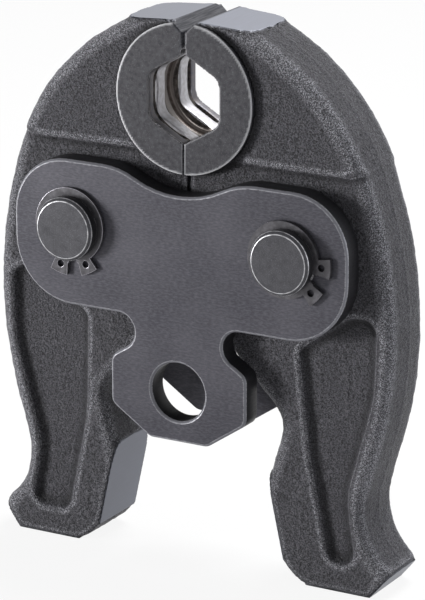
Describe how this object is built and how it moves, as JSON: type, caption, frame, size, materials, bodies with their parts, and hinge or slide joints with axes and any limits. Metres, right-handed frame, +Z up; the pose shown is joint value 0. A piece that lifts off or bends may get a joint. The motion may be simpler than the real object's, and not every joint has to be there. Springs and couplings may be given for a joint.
{
  "type": "press fitting tool jaw",
  "caption": "Scissor press jaw with a split hexagonal die, two forged levers on hinge pins between side plates, and a bolt bore in its tail.",
  "frame": {"origin": "centre of the machine bolt's bore, midway between the side plates' outer faces", "axes": "+X across the levers to the right one, +Y along the bore through the thickness, +Z up from the feet to the die"},
  "size_m": [0.1042, 0.036, 0.1296],
  "materials": {
    "forged_lever": "forged and blackened, rough",
    "side_plate": "satin blackened steel",
    "hinge_pin": "turned, satin",
    "retaining_clip": "blackened spring steel",
    "spring_wire": "bright spring wire"
  },
  "bodies": {
    "frame": {"front_plate": "side_plate", "rear_plate": "side_plate", "left_pin": "hinge_pin", "right_pin": "hinge_pin", "front_left_clip": "retaining_clip", "front_right_clip": "retaining_clip", "rear_left_clip": "retaining_clip", "rear_right_clip": "retaining_clip", "closing_spring": "spring_wire"},
    "left_lever": {"left_jaw": "forged_lever"},
    "right_lever": {"right_jaw": "forged_lever"}
  },
  "joints": [
    {"name": "left_jaw_pivot", "type": "hinge", "parent": "frame", "child": "left_lever", "pos_m": [-0.028, 0, 0.0358], "axis": [0, -1, 0], "range_deg": [0, 15], "stiffness_Nm_per_rad": 2, "springref_deg": -20.05, "deforming": ["closing_spring"]},
    {"name": "right_jaw_pivot", "type": "hinge", "parent": "frame", "child": "right_lever", "pos_m": [0.028, 0, 0.0358], "axis": [0, 1, 0], "range_deg": [0, 15], "stiffness_Nm_per_rad": 2, "springref_deg": -20.05}
  ]
}
